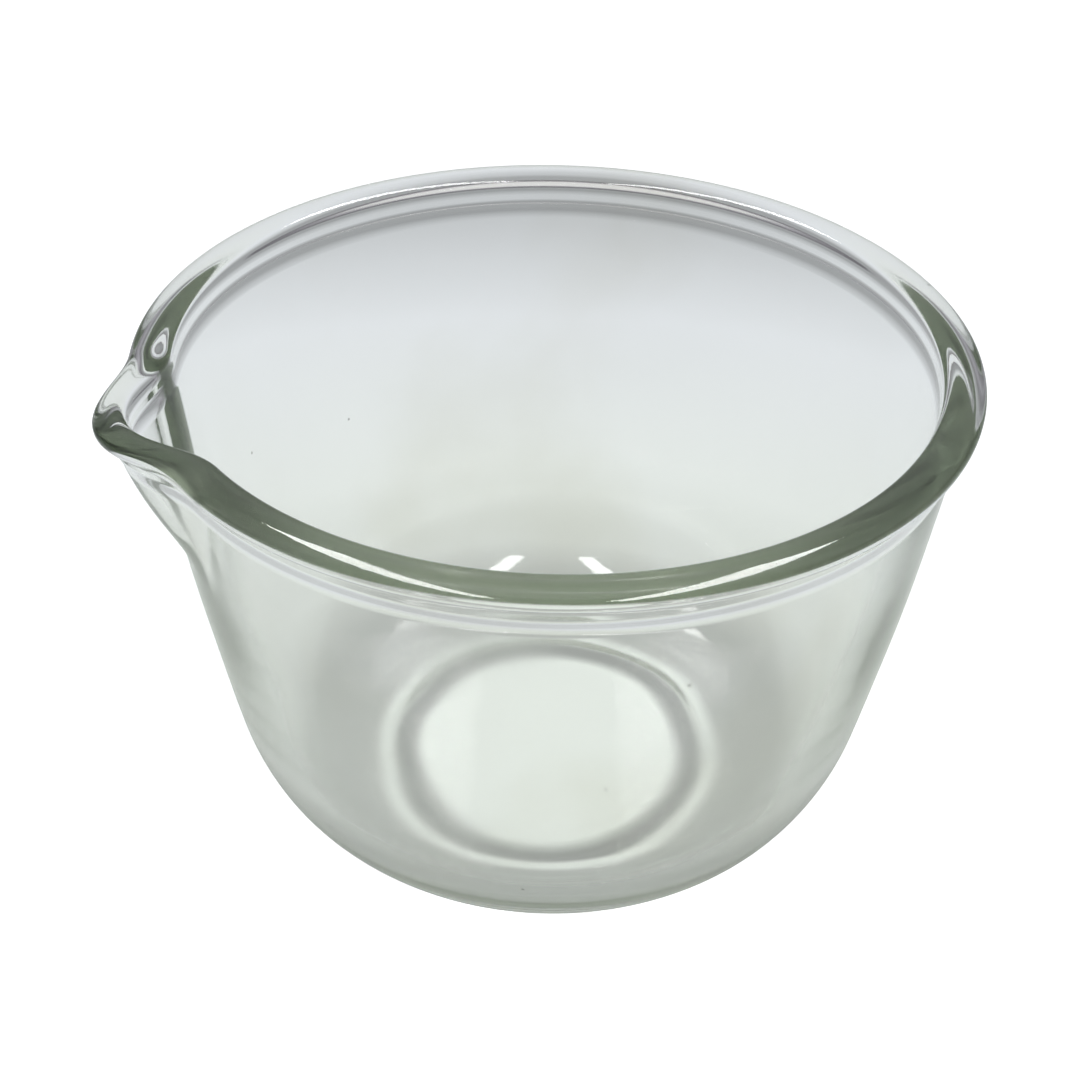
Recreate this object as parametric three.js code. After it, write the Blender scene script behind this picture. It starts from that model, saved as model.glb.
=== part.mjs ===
// Mixing bowl: one piece of pressed glass with a rolled rim and a pouring spout.
//
// Millimetres, +Z up. The origin is the centre of the flat underside, on the bowl's axis.
// The spout points along -X. The bowl is a lathe body about Z whose rim is pulled out into
// the spout, so the pad, foot, wall and rim are one closed solid.

import * as THREE from 'three';
import { mergeVertices } from 'three/addons/utils/BufferGeometryUtils.js';

// Overall size
const HEIGHT = 106;          // resting plane to the top of the rim
const RIM_RADIUS = 82.5;     // outer edge of the rim, away from the spout
const MOUTH_RADIUS = 74.3;   // inner edge of the rim

// Base
const PAD_RADIUS = 28;       // flat centre pad on the underside
const GROOVE_RADIUS = 33.6;  // deepest line of the moulded groove round the pad
const GROOVE_DEPTH = 0.8;
const FOOT_INNER = 37;       // the foot is a narrow flat ring outside the groove
const FOOT_OUTER = 37.6;
const FOOT_EDGE = 42;        // the heel starts here, above the resting plane
const FOOT_HEIGHT = 0.6;
const FLOOR_HEIGHT = 8;      // glass thickness in the middle of the floor
const FLOOR_RADIUS = 22;     // flat part of the floor inside

// Wall
const HEEL_TOP = { r: 66.8, z: 29.2 };   // the rounded heel meets the tapered wall here
const WALL_TOP = { r: 78.9, z: 97.6 };   // the wall ends here, under the collar
const OUTER_BOW = 3.1;                   // the taper bows outward by a quarter of this
const INNER_BOW = 3.7;
const HEEL_THICKNESS = 7.2;              // wall thickness at the top of the heel

// Rim
const COLLAR_STEP = 0.25;    // the collar stands this far off the wall
const COLLAR_TOP = 100.6;
const BEAD_MIDDLE = 103.6;   // height of the widest part of the bead

// Spout
const SPOUT_REACH = 7.5;     // how far the outer face is pulled past the rim
const CHANNEL_REACH = 9.3;   // how far the inner face is pulled, so the lip is thinner
const SPOUT_HALF_ANGLE = 17; // degrees either side of -X, at the rim
const SPOUT_DEPTH = 31;      // the spout runs out into the wall this far below the rim
const ROOT_SHARE = 0.62;     // width at the bottom of the spout, as a share of its top width
const FLANK_SHARPNESS = 2.2; // a higher value gives a narrower, more pointed spout
const FADE_SHARPNESS = 2.1;  // a higher value keeps the spout full for longer below the rim
const LIP_DROP = 0.8;        // the pouring lip is this much lower than the rim
const LIP_BLEND = 14;        // the drop fades out over this height

// Mesh density
const TURNS = 72;            // steps round the bowl
const SPOUT_CROWDING = 0.5;  // steps are this much closer together at the spout
const CURVE_STEPS = 5;       // steps along each curve of the section

/** Half section of the glass, from the axis underneath, round the rim, to the axis inside. */
function glassSection() {
  const section = new THREE.Path();
  section.moveTo(0, 0);
  section.lineTo(PAD_RADIUS, 0);

  // Groove and foot
  section.bezierCurveTo(PAD_RADIUS + 0.6, 0, GROOVE_RADIUS - 0.6, GROOVE_DEPTH, GROOVE_RADIUS, GROOVE_DEPTH);
  section.bezierCurveTo(GROOVE_RADIUS + 0.8, GROOVE_DEPTH, FOOT_INNER - 0.8, 0, FOOT_INNER, 0);
  section.lineTo(FOOT_OUTER, 0);
  section.bezierCurveTo(FOOT_OUTER + 1.4, 0, FOOT_EDGE - 1.4, FOOT_HEIGHT, FOOT_EDGE, FOOT_HEIGHT);

  // Heel and outer wall
  section.bezierCurveTo(49.1, 1, 62.1, 8.3, HEEL_TOP.r, HEEL_TOP.z);
  bowedLine(section, HEEL_TOP, WALL_TOP, OUTER_BOW);

  // Collar and bead
  section.lineTo(WALL_TOP.r + COLLAR_STEP, WALL_TOP.z + 0.4);
  section.lineTo(WALL_TOP.r + COLLAR_STEP + 0.25, COLLAR_TOP);
  section.quadraticCurveTo(79.8, 101.5, 81.2, 101.8);
  section.quadraticCurveTo(RIM_RADIUS, 102.1, RIM_RADIUS, BEAD_MIDDLE);
  section.bezierCurveTo(RIM_RADIUS, 105, 80.8, HEIGHT, 78.2, HEIGHT);
  section.bezierCurveTo(76, HEIGHT, MOUTH_RADIUS, 105.2, MOUTH_RADIUS, BEAD_MIDDLE);

  // Inner wall and floor
  const insideHeel = { r: HEEL_TOP.r - HEEL_THICKNESS, z: HEEL_TOP.z - 1 };
  bowedLine(section, { r: MOUTH_RADIUS, z: BEAD_MIDDLE }, insideHeel, INNER_BOW);
  section.bezierCurveTo(54.2, 8.6, 44.6, FLOOR_HEIGHT, FLOOR_RADIUS, FLOOR_HEIGHT);
  section.lineTo(0, FLOOR_HEIGHT);
  return section.getPoints(CURVE_STEPS);
}

/** Adds a nearly straight curve from one point to the next that bows outward. */
function bowedLine(path, from, to, bow) {
  const dr = to.r - from.r;
  const dz = to.z - from.z;
  path.bezierCurveTo(
    from.r + (dr + bow) / 3, from.z + dz / 3,
    to.r - (dr - bow) / 3, to.z - dz / 3,
    to.r, to.z,
  );
}

/** 0 on the outer face of the glass, 1 on the inner face, blending across the rim's top. */
function innerShare(radius, height, isInside) {
  if (height < BEAD_MIDDLE) return isInside ? 1 : 0;
  return THREE.MathUtils.clamp((RIM_RADIUS - radius) / (RIM_RADIUS - MOUTH_RADIUS), 0, 1);
}

/** Outward pull and drop of the glass at an angle (radians) off the spout's centre line. */
function spoutPull(height, angle, share) {
  const below = HEIGHT - height;
  const fade = Math.max(0, 1 - (below / SPOUT_DEPTH) ** FADE_SHARPNESS);
  const width = THREE.MathUtils.degToRad(SPOUT_HALF_ANGLE)
    * (ROOT_SHARE + (1 - ROOT_SHARE) * fade);
  if (fade === 0 || Math.abs(angle) >= width) return { out: 0, drop: 0 };
  const bump = Math.cos((Math.PI / 2) * (angle / width)) ** FLANK_SHARPNESS;
  return {
    out: THREE.MathUtils.lerp(SPOUT_REACH, CHANNEL_REACH, share) * fade * bump,
    drop: LIP_DROP * bump * Math.max(0, 1 - below / LIP_BLEND),
  };
}

/** Lathes the section, with closer steps at the spout, and pulls the spout out of the rim. */
function bowlGeometry() {
  const section = glassSection();
  const crest = section.reduce((top, p, i) => (p.y > section[top].y ? i : top), 0);
  const lathe = new THREE.LatheGeometry(section, TURNS);
  const position = lathe.getAttribute('position');
  for (let i = 0; i < position.count; i += 1) {
    const row = i % section.length;
    const turn = (Math.floor(i / section.length) % TURNS) * ((2 * Math.PI) / TURNS);
    const angle = turn - SPOUT_CROWDING * Math.sin(turn);
    const offCentre = angle > Math.PI ? angle - 2 * Math.PI : angle;
    const { x: radius, y: height } = section[row];
    const pull = spoutPull(height, offCentre, innerShare(radius, height, row > crest));
    const reach = radius === 0 ? 0 : radius + pull.out;
    position.setXYZ(i, -reach * Math.cos(angle), -reach * Math.sin(angle), height - pull.drop);
  }
  return weld(lathe);
}

/** Joins the seam and the points on the axis, and drops the triangles that collapse there. */
function weld(geometry) {
  geometry.deleteAttribute('normal');
  geometry.deleteAttribute('uv');
  const merged = mergeVertices(geometry, 1e-4);
  const index = Array.from(merged.getIndex().array);
  const kept = [];
  for (let i = 0; i < index.length; i += 3) {
    const [a, b, c] = index.slice(i, i + 3);
    if (a !== b && b !== c && c !== a) kept.push(a, b, c);
  }
  merged.setIndex(kept);
  merged.computeVertexNormals();
  return merged;
}

const glass = new THREE.MeshStandardMaterial({ color: 0xc6d6c8, roughness: 0.05, metalness: 0 });
const bowl = new THREE.Mesh(bowlGeometry(), glass);
bowl.name = 'bowl';

const group = new THREE.Group();
group.name = 'mixing_bowl';
group.add(bowl);

export default group;
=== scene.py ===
"""Looks for the glass mixing bowl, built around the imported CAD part.

Metres, in the CAD's frame: +Z up along the bowl's axis, the spout along -X, the origin under the base.
The section and the spout are the CAD's own, in millimetres, with many more points. Only the ledge under the
collar is steeper here, and the glass has slow waves that the CAD leaves out.
"""
import math

import bpy
from mathutils import Matrix


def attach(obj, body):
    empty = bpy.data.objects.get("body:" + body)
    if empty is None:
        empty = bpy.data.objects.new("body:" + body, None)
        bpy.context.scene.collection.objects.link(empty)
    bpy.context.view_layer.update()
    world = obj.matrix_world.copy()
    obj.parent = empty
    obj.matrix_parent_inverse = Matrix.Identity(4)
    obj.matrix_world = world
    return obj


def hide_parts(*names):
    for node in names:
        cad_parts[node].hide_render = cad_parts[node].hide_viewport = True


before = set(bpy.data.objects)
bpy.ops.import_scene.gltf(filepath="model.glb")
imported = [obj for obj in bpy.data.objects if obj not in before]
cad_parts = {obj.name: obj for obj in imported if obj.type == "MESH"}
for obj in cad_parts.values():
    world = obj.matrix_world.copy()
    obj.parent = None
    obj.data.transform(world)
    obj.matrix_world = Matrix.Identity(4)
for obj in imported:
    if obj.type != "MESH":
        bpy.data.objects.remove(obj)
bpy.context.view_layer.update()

MM = 0.001

# Overall size: radii and heights in millimetres
HEIGHT = 106
RIM_RADIUS = 82.5
MOUTH_RADIUS = 74.3

# The underside: a flat pad, a shallow groove and a narrow flat foot. An ease is the length of a handle.
PAD_RADIUS = 28.0
GROOVE_RADIUS = 33.6
GROOVE_DEPTH = 0.8
FOOT_INNER = 37.0
FOOT_OUTER = 37.6
FOOT_EDGE = 42.0
FOOT_HEIGHT = 0.6
PAD_EASE = 0.6
GROOVE_EASE = 0.8
FOOT_EASE = 1.4

# Heel, wall and floor. A bend is the control points of one curve, as radius and height.
HEEL_TOP = (66.8, 29.2)
HEEL_BEND = ((49.1, 1), (62.1, 8.3))
HEEL_THICKNESS = 7.2
INNER_HEEL_DROP = 1
WALL_TOP = (78.9, 97.6)
OUTER_BOW = 3.1
INNER_BOW = 3.7
FLOOR_HEIGHT = 8.0
FLOOR_RADIUS = 22
INNER_HEEL_BEND = ((54.2, 8.6), (44.6, FLOOR_HEIGHT))

# The collar and the bead above it
COLLAR_STEP = 0.25
COLLAR_LEDGE = 0.1
COLLAR_FLARE = 0.25
COLLAR_TOP = 100.6
BEAD_MIDDLE = 103.6
BEAD_START = (81.2, 101.8)
UNDER_BEAD_BEND = (79.8, 101.5)
BEAD_LOW_BEND = (RIM_RADIUS, 102.1)
CREST_RADIUS = 78.2
OUTER_CREST_BEND = ((RIM_RADIUS, 105), (80.8, HEIGHT))
INNER_CREST_BEND = ((76, HEIGHT), (MOUTH_RADIUS, 105.2))

# The spout
SPOUT_REACH = 7.5
CHANNEL_REACH = 9.3
SPOUT_HALF_ANGLE = 17
SPOUT_DEPTH = 31
ROOT_SHARE = 0.62
FLANK_SHARPNESS = 2.2
FADE_SHARPNESS = 2.1
LIP_DROP = 0.8
LIP_BLEND = 14

# The slow waves that pressing leaves in the glass. Each has its turns round the bowl, its run along
# the section and its start. They fade out near the foot, near the collar and in the middle of the floor.
SWELL = 0.07
SWELL_LENGTH = 7.0
SWELL_WAVES = ((3, 1.0, 0.0), (5, -0.6, 1.3))
SWELL_FOOT = 6
SWELL_COLLAR = 96
SWELL_FLOOR = 62.0
SWELL_BLEND = 20.0

# How fine the surface is
TURNS = 432
SPOUT_CROWDING = 0.5
FINENESS = 1.3

# The glass. Smudges and specks are colours by the value of a pattern.
GLASS_BEND = 1.5
TINT = (0.63, 0.71, 0.56, 1)
TINT_DENSITY = 8.0
SMUDGE_SCALE = 16.0
SMUDGES = [(0.52, (1, 1, 1)), (0.7, (0.925, 0.92, 0.89))]
SPECK_SCALE = 45.0
SPECKS = [(0.014, (0.3, 0.3, 0.28)), (0.02, (1, 1, 1))]
HAZE_SCALE = 28.0
HAZE_START = 0.4
HAZE_FULL = 0.7
CLEAN_ROUGHNESS = 0.03
HAZE_ROUGHNESS = 0.11
MARK_DETAIL = 4.0
HAZE_DETAIL = 6.0

# The camera: its place in metres, its turn, tilt down and roll in degrees, and its lens in millimetres
CAMERA_PLACE = (-0.1251, -0.3345, 0.3102)
CAMERA_TURN = -20.1
CAMERA_DOWN = 35.104
CAMERA_ROLL = 1.255
CAMERA_LENS = 70.53
SENSOR_WIDTH = 36
NEAREST = 0.01

# The floor, and the white wall round it that is only seen directly
FLOOR_GAP = 0.0004
FLOOR_SIZE = 6.0
FLOOR_COLOR = (0.86, 0.865, 0.87, 1)
FLOOR_GLOW = 0.95
BACKDROP_RADIUS = 2.8
BACKDROP_HEIGHT = 2.5
BACKDROP_TURNS = 64
BACKDROP_COLOR = (1, 1, 1, 1)
BACKDROP_GLOW = 1.0
MATT_ROUGHNESS = 0.7

# The card of painted shade, seen only through and in the glass: it darkens the floor under the base, most in
# a ring round the foot and under the heel, and again further out. Below: how much of the floor it hides, by
# distance from the axis in metres, and its tint
SURROUND_GAP = 0.0001
SURROUND_REACH = 0.40
PAINTED_SHADE_COVER = [
    (0.0284, 0.38), (0.0306, 0.96), (0.0344, 0.96), (0.0360, 0.42), (0.0378, 0.42),
    (0.0404, 0.79), (0.060, 0.82), (0.085, 0.50), (0.12, 0.41), (0.20, 0.40),
    (0.235, 0.52), (0.26, 0.63), (0.29, 0.69), (0.37, 0.90),
]
PAINTED_SHADE_TINT = [(0.1, (0.95, 1.0, 0.945)), (0.2, (0.945, 0.98, 1.0))]
PAINTED_SHADE_GLOW = 0.27

# The studio: the colour of the tent's walls from the camera's side (0) to the far side (1), how far they dim
# low down, a paler top and two strips of light. Heights on the tent are from 0, level, to 1, straight up.
TENT_WALLS = [
    (0.0, (0.05, 0.05, 0.05)), (0.25, (0.14, 0.14, 0.14)),
    (0.45, (0.48, 0.48, 0.49)), (1.0, (0.38, 0.37, 0.41)),
]
TENT_TOP = (0.75, 0.75, 0.75, 1)
TOP_START = 0.80
TOP_FULL = 0.97
LOW_WALL = 0.32
LOW_WALL_TOP = 0.4
STRIP_WIDTH = 0.11
STRIP_LENGTH = 1.2
STRIP_HEIGHT = 0.7
STRIP_SIDE = 0.25
STRIP_BACK = -0.25
STRIP_RADIANCE = 15.0

# Light is led round inside the rim by many reflections
BOUNCES = 64


def along(start, end, count):
    """The points after start on a straight line to end."""
    shares = [i / count for i in range(1, count + 1)]
    return [tuple(a + (b - a) * t for a, b in zip(start, end)) for t in shares]


def curve(points, count):
    """The points after the first on a Bezier curve of any degree."""
    out = []
    for i in range(1, count + 1):
        level = [tuple(p) for p in points]
        t = i / count
        while len(level) > 1:
            level = [tuple(a + (b - a) * t for a, b in zip(p, q)) for p, q in zip(level, level[1:])]
        out.append(level[0])
    return out


def eased(start, end, ease, count):
    """A curve that leaves start and reaches end level."""
    return curve([start, (start[0] + ease, start[1]), (end[0] - ease, end[1]), end], count)


def bowed(start, end, bow, count):
    """A wall line that stands out by part of bow between its ends."""
    dr, dz = end[0] - start[0], end[1] - start[1]
    first = (start[0] + (dr + bow) / 3, start[1] + dz / 3)
    second = (end[0] - (dr - bow) / 3, end[1] - dz / 3)
    return curve([start, first, second, end], count)


def steps(count):
    """How many points one curve gets, as finely as the whole section is made."""
    return round(count * FINENESS)


def underside():
    """The section from the axis to the edge of the foot."""
    line = [(0.0, 0.0)]
    line += along(line[-1], (PAD_RADIUS, 0), steps(4))
    line += eased(line[-1], (GROOVE_RADIUS, GROOVE_DEPTH), PAD_EASE, steps(12))
    line += eased(line[-1], (FOOT_INNER, 0), GROOVE_EASE, steps(10))
    line += along(line[-1], (FOOT_OUTER, 0), steps(1))
    line += eased(line[-1], (FOOT_EDGE, FOOT_HEIGHT), FOOT_EASE, steps(8))
    return line


def glass_section():
    """The glass cut through the axis: from the middle of the base, out, up, over the rim and back inside."""
    ledge = (WALL_TOP[0] + COLLAR_STEP, WALL_TOP[1] + COLLAR_LEDGE)
    inside_heel = (HEEL_TOP[0] - HEEL_THICKNESS, HEEL_TOP[1] - INNER_HEEL_DROP)
    line = underside()
    line += curve([line[-1], *HEEL_BEND, HEEL_TOP], steps(24))
    line += bowed(line[-1], WALL_TOP, OUTER_BOW, steps(16))
    line += along(line[-1], ledge, steps(2))
    line += along(line[-1], (ledge[0] + COLLAR_FLARE, COLLAR_TOP), steps(2))
    line += curve([line[-1], UNDER_BEAD_BEND, BEAD_START], steps(5))
    line += curve([line[-1], BEAD_LOW_BEND, (RIM_RADIUS, BEAD_MIDDLE)], steps(6))
    line += curve([line[-1], *OUTER_CREST_BEND, (CREST_RADIUS, HEIGHT)], steps(8))
    line += curve([line[-1], *INNER_CREST_BEND, (MOUTH_RADIUS, BEAD_MIDDLE)], steps(8))
    line += bowed(line[-1], inside_heel, INNER_BOW, steps(16))
    line += curve([line[-1], *INNER_HEEL_BEND, (FLOOR_RADIUS, FLOOR_HEIGHT)], steps(24))
    line += along(line[-1], (0, FLOOR_HEIGHT), steps(4))
    return line


def clamped(value):
    """The value, kept between 0 and 1."""
    return min(1.0, max(0.0, value))


def inner_share(radius, z, inside):
    """0 on the outer face, 1 on the inner face and in between over the rim."""
    if z < BEAD_MIDDLE:
        return 1.0 if inside else 0.0
    return clamped((RIM_RADIUS - radius) / (RIM_RADIUS - MOUTH_RADIUS))


def spout_pull(z, angle, share):
    """How far the spout draws a point out and down, at an angle from its middle."""
    below = HEIGHT - z
    fade = max(0.0, 1 - (below / SPOUT_DEPTH) ** FADE_SHARPNESS)
    width = math.radians(SPOUT_HALF_ANGLE) * (ROOT_SHARE + (1 - ROOT_SHARE) * fade)
    if fade == 0 or abs(angle) >= width:
        return 0.0, 0.0
    bump = math.cos(math.pi / 2 * angle / width) ** FLANK_SHARPNESS
    out = (SPOUT_REACH + (CHANNEL_REACH - SPOUT_REACH) * share) * fade * bump
    return out, LIP_DROP * bump * max(0.0, 1 - below / LIP_BLEND)


def swell(radius, z, angle, inside):
    """How far the waves move a point out and up: across the wall, and up and down on the floor inside."""
    place = (radius + z) / SWELL_LENGTH
    waves = [math.sin(turns * angle + run * place + start) for turns, run, start in SWELL_WAVES]
    wave = SWELL * sum(waves) / len(waves) * clamped((SWELL_COLLAR - z) / SWELL_BLEND)
    if not inside:
        return wave * clamped((z - SWELL_FOOT) / SWELL_BLEND), 0.0
    wave *= clamped(radius / SWELL_BLEND)
    level = clamped((SWELL_FLOOR - radius) / SWELL_BLEND)
    return wave * (1 - level), wave * level


def turn_angles():
    """Angles round the bowl from the middle of the spout, closer together near it."""
    even = [2 * math.pi * i / TURNS for i in range(TURNS)]
    crowded = [a - SPOUT_CROWDING * math.sin(a) for a in even]
    return [a if a <= math.pi else a - 2 * math.pi for a in crowded]


def bowl_points(line):
    """The section swept round the axis, ring by ring, with one point on the axis at each end."""
    crest = max(range(len(line)), key=lambda i: line[i][1])
    angles = turn_angles()
    points = [(0, 0, line[0][1] * MM)]
    for i, (radius, z) in enumerate(line[1:-1], start=1):
        share = inner_share(radius, z, i > crest)
        for angle in angles:
            out, drop = spout_pull(z, angle, share)
            across, up = swell(radius, z, angle, i > crest)
            reach = (radius + out + across) * MM
            points.append((-reach * math.cos(angle), -reach * math.sin(angle), (z - drop + up) * MM))
    points.append((0, 0, line[-1][1] * MM))
    return points


def bowl_faces(rings, last):
    """Quads between the rings, and a fan at each end."""
    faces = []
    for j in range(TURNS):
        k = (j + 1) % TURNS
        faces.append((0, 1 + k, 1 + j))
        for ring in range(rings - 1):
            low, high = 1 + ring * TURNS, 1 + (ring + 1) * TURNS
            faces.append((low + j, low + k, high + k, high + j))
        top = 1 + (rings - 1) * TURNS
        faces.append((top + j, top + k, last))
    return faces


def bowl_mesh():
    """The bowl as one closed smooth skin."""
    line = glass_section()
    points = bowl_points(line)
    mesh = bpy.data.meshes.new("glass_bowl")
    mesh.from_pydata(points, [], bowl_faces(len(line) - 2, len(points) - 1))
    mesh.update()
    mesh.shade_smooth()
    return mesh


def node(tree, kind, sources=None, **values):
    """A new node with its named sockets set, and the inputs in sources linked."""
    made = tree.nodes.new(kind)
    for name, value in values.items():
        made.inputs[name.replace("_", " ")].default_value = value
    for place, source in (sources or {}).items():
        tree.links.new(source, made.inputs[place])
    return made


def ramp(tree, source, stops):
    """A colour that follows a value through its stops."""
    made = node(tree, "ShaderNodeValToRGB", {"Fac": source})
    elements = made.color_ramp.elements
    while len(elements) < len(stops):
        elements.new(0.5)
    for element, (place, color) in zip(elements, stops):
        element.position = place
        element.color = (*color, 1)
    return made.outputs["Color"]


def mixed(tree, factor, first, second, blend):
    """Two colours put together. Each of the three inputs is a value or another node's output."""
    made = tree.nodes.new("ShaderNodeMix")
    made.data_type = "RGBA"
    made.blend_type = blend
    sockets = [made.inputs[0]] + [socket for socket in made.inputs if socket.type == "RGBA"]
    for socket, given in zip(sockets, (factor, first, second)):
        if isinstance(given, bpy.types.NodeSocket):
            tree.links.new(given, socket)
        else:
            socket.default_value = given
    return [socket for socket in made.outputs if socket.type == "RGBA"][0]


def new_material(name):
    material = bpy.data.materials.new(name)
    material.use_nodes = True
    return material


def clear_glass():
    """Clear glass with a tint through its depth, hazy patches, smudges and a few specks."""
    material = new_material("pressed_glass")
    tree = material.node_tree
    shader = tree.nodes["Principled BSDF"]
    shader.inputs["Transmission Weight"].default_value = 1
    shader.inputs["IOR"].default_value = GLASS_BEND
    place = {"Vector": node(tree, "ShaderNodeTexCoord").outputs["Object"]}
    haze = node(tree, "ShaderNodeTexNoise", place, Scale=HAZE_SCALE, Detail=HAZE_DETAIL)
    level = node(
        tree, "ShaderNodeMapRange", {"Value": haze.outputs["Fac"]},
        From_Min=HAZE_START, From_Max=HAZE_FULL, To_Min=CLEAN_ROUGHNESS, To_Max=HAZE_ROUGHNESS,
    )
    tree.links.new(level.outputs["Result"], shader.inputs["Roughness"])
    smudge = node(tree, "ShaderNodeTexNoise", place, Scale=SMUDGE_SCALE, Detail=MARK_DETAIL)
    speck = node(tree, "ShaderNodeTexVoronoi", place, Scale=SPECK_SCALE)
    smudges = ramp(tree, smudge.outputs["Fac"], SMUDGES)
    specks = ramp(tree, speck.outputs["Distance"], SPECKS)
    tree.links.new(mixed(tree, 1, smudges, specks, "MULTIPLY"), shader.inputs["Base Color"])
    tint = node(tree, "ShaderNodeVolumeAbsorption", Color=TINT, Density=TINT_DENSITY)
    tree.links.new(tint.outputs["Volume"], tree.nodes["Material Output"].inputs["Volume"])
    return material


def add_object(name, data):
    added = bpy.data.objects.new(name, data)
    bpy.context.scene.collection.objects.link(added)
    return added


def add_bowl():
    bowl = add_object("glass_bowl", bowl_mesh())
    bowl.data.materials.append(clear_glass())
    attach(bowl, "root")
    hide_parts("bowl")


def add_camera():
    camera = bpy.data.cameras.new("camera")
    camera.lens = CAMERA_LENS
    camera.sensor_width = SENSOR_WIDTH
    camera.clip_start = NEAREST
    holder = add_object("camera", camera)
    turn = Matrix.Rotation(math.radians(CAMERA_TURN), 4, "Z")
    tilt = Matrix.Rotation(math.radians(90 - CAMERA_DOWN), 4, "X")
    roll = Matrix.Rotation(math.radians(CAMERA_ROLL), 4, "Z")
    holder.matrix_world = Matrix.Translation(CAMERA_PLACE) @ turn @ tilt @ roll
    bpy.context.scene.camera = holder


def glowing_material(name, color, glow):
    """A matt surface that also gives off its own colour."""
    material = new_material(name)
    shader = material.node_tree.nodes["Principled BSDF"]
    shader.inputs["Base Color"].default_value = color
    shader.inputs["Roughness"].default_value = MATT_ROUGHNESS
    shader.inputs["Emission Color"].default_value = color
    shader.inputs["Emission Strength"].default_value = glow
    return material


def add_stage(name, points, faces, material):
    mesh = bpy.data.meshes.new(name)
    mesh.from_pydata(points, [], faces)
    mesh.materials.append(material)
    staged = add_object(name, mesh)
    return staged


def add_sheet(name, z, material):
    """A wide flat sheet under the bowl."""
    half = FLOOR_SIZE / 2
    corners = [(-half, -half, z), (half, -half, z), (half, half, z), (-half, half, z)]
    return add_stage(name, corners, [(0, 1, 2, 3)], material)


def add_floor():
    add_sheet("floor", -FLOOR_GAP, glowing_material("floor", FLOOR_COLOR, FLOOR_GLOW))


def shade_card_material():
    """Painted shade: part clear and part grey by distance from the bowl's axis, so the floor seen through the
    glass is darker under the base, in a ring round the foot and further out.
    """
    material = new_material("painted_shade_card")
    tree = material.node_tree
    tree.nodes.clear()
    place = node(tree, "ShaderNodeTexCoord").outputs["Object"]
    distance = node(tree, "ShaderNodeVectorMath", {0: place})
    distance.operation = "LENGTH"
    reach = node(tree, "ShaderNodeMath", {0: distance.outputs["Value"]})
    reach.operation = "MULTIPLY"
    reach.inputs[1].default_value = 1 / SURROUND_REACH
    share = reach.outputs["Value"]
    # The cover is the painted shade: darkest in a ring round the foot and under the heel, lighter under the
    # middle of the base, darker again far out.
    cover = ramp(tree, share, [(radius / SURROUND_REACH, (hidden,) * 3) for radius, hidden in PAINTED_SHADE_COVER])
    tint = ramp(tree, share, [(radius / SURROUND_REACH, color) for radius, color in PAINTED_SHADE_TINT])
    clear = node(tree, "ShaderNodeBsdfTransparent", {"Color": tint})
    # The grey gives off its own light, so the painted shade stays the same whatever the lamps do.
    grey = node(tree, "ShaderNodeEmission", {"Color": tint}, Strength=PAINTED_SHADE_GLOW)
    both = {"Fac": cover, 1: clear.outputs["BSDF"], 2: grey.outputs["Emission"]}
    mix = node(tree, "ShaderNodeMixShader", both)
    node(tree, "ShaderNodeOutputMaterial", {"Surface": mix.outputs["Shader"]})
    return material


def add_shade_card():
    """A grey card of painted shade lying on the floor, seen only through and in the glass."""
    card = add_sheet("painted_shade_card", -SURROUND_GAP, shade_card_material())
    card.visible_camera = False
    card.visible_diffuse = False
    card.visible_shadow = False


def add_backdrop():
    """A white wall round the studio, seen only directly, so the bowl stands before white from every side."""
    points, faces = [], []
    for i in range(BACKDROP_TURNS):
        angle = 2 * math.pi * i / BACKDROP_TURNS
        for z in (-FLOOR_GAP, BACKDROP_HEIGHT):
            points.append((BACKDROP_RADIUS * math.cos(angle), BACKDROP_RADIUS * math.sin(angle), z))
        j = (i + 1) % BACKDROP_TURNS
        faces.append((2 * i, 2 * i + 1, 2 * j + 1, 2 * j))
    wall = add_stage("backdrop", points, faces, glowing_material("backdrop", BACKDROP_COLOR, BACKDROP_GLOW))
    wall.visible_diffuse = False
    wall.visible_glossy = False
    wall.visible_transmission = False
    wall.visible_shadow = False


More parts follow.
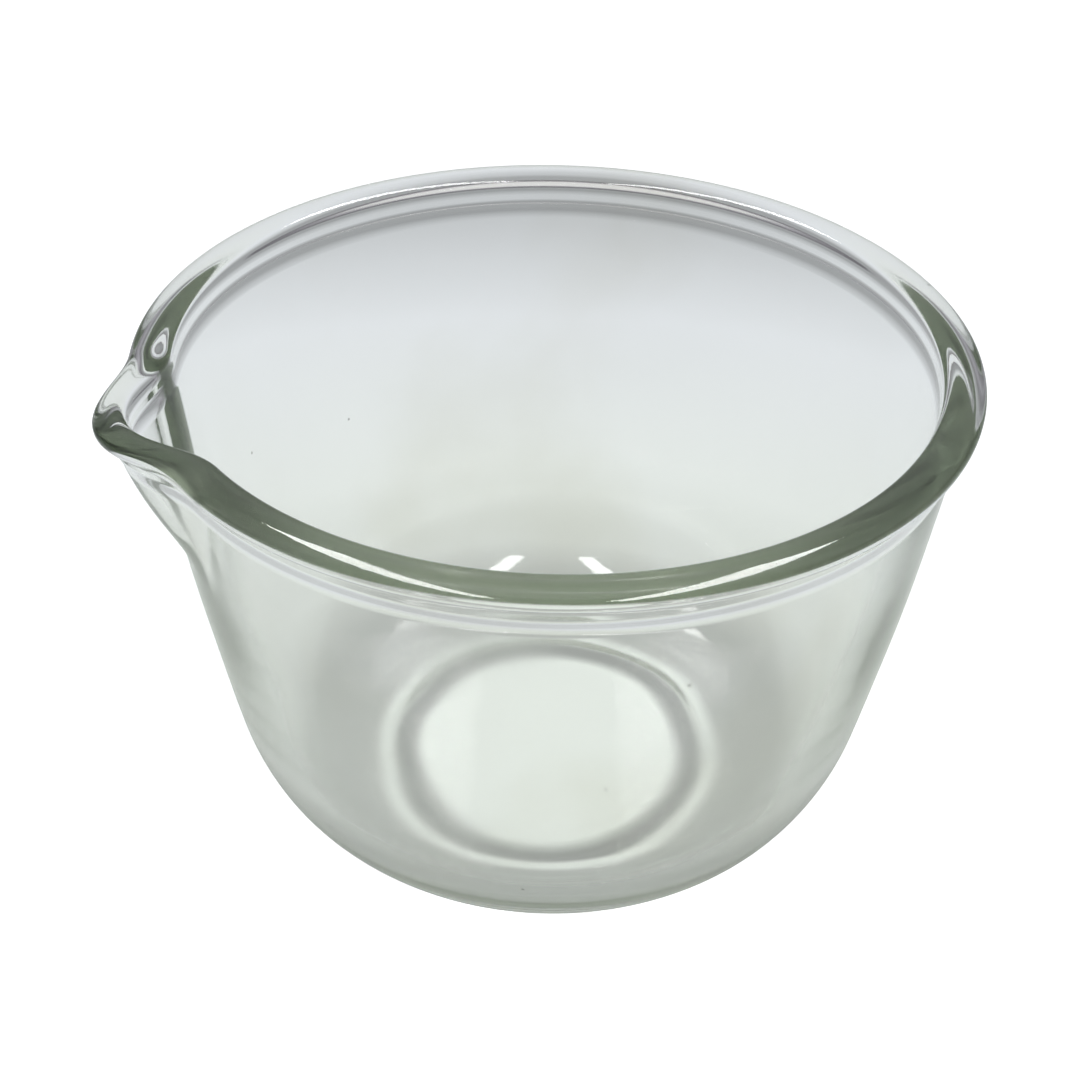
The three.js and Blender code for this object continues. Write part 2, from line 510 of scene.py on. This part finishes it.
def add_strip(name, side):
    """A long light above one side of the bowl, facing it. The glass reflects it but never lets it through."""
    light = bpy.data.lights.new(name, "AREA")
    light.shape = "RECTANGLE"
    light.size = STRIP_WIDTH
    light.size_y = STRIP_LENGTH
    light.energy = STRIP_RADIANCE * math.pi * STRIP_WIDTH * STRIP_LENGTH
    holder = add_object(name, light)
    holder.visible_diffuse = False
    holder.visible_transmission = False
    turn = Matrix.Rotation(math.radians(CAMERA_TURN), 4, "Z")
    lean = Matrix.Rotation(math.atan2(side * STRIP_SIDE, STRIP_HEIGHT), 4, "Y")
    holder.matrix_world = turn @ Matrix.Translation((side * STRIP_SIDE, STRIP_BACK, STRIP_HEIGHT)) @ lean


def tent_walls(tree, look, height):
    """The colour of the walls, by how far a direction turns away from the camera and by its height."""
    away = math.radians(90 + CAMERA_TURN)
    facing = node(tree, "ShaderNodeVectorMath", {0: look})
    facing.operation = "DOT_PRODUCT"
    facing.inputs[1].default_value = (math.cos(away), math.sin(away), 0)
    half = node(tree, "ShaderNodeMath", {0: facing.outputs["Value"]})
    half.operation = "MULTIPLY_ADD"
    half.inputs[1].default_value = half.inputs[2].default_value = 0.5
    low = node(tree, "ShaderNodeMapRange", {"Value": height}, From_Max=LOW_WALL_TOP, To_Min=LOW_WALL)
    walls = node(tree, "ShaderNodeVectorMath", {0: ramp(tree, half.outputs["Value"], TENT_WALLS)})
    walls.operation = "SCALE"
    tree.links.new(low.outputs["Result"], walls.inputs["Scale"])
    return walls.outputs["Vector"]


def add_light():
    """A light tent: grey walls that are darker towards the camera, a paler top and two strips under it."""
    world = bpy.data.worlds.new("studio")
    bpy.context.scene.world = world
    world.use_nodes = True
    tree = world.node_tree
    look = node(tree, "ShaderNodeTexCoord").outputs["Generated"]
    height = node(tree, "ShaderNodeSeparateXYZ", {"Vector": look}).outputs["Z"]
    rise = node(tree, "ShaderNodeMapRange", {"Value": height}, From_Min=TOP_START, From_Max=TOP_FULL)
    rise.interpolation_type = "SMOOTHSTEP"
    tent = mixed(tree, rise.outputs["Result"], tent_walls(tree, look, height), TENT_TOP, "MIX")
    tree.links.new(tent, tree.nodes["Background"].inputs["Color"])
    add_strip("left_strip", -1)
    add_strip("right_strip", 1)


def set_film():
    scene = bpy.context.scene
    scene.view_settings.view_transform = "Standard"
    scene.cycles.max_bounces = BOUNCES
    scene.cycles.transmission_bounces = BOUNCES
    scene.cycles.glossy_bounces = BOUNCES
    scene.cycles.use_denoising = True


add_bowl()
add_camera()
add_floor()
add_shade_card()
add_backdrop()
add_light()
set_film()

bpy.context.view_layer.update()
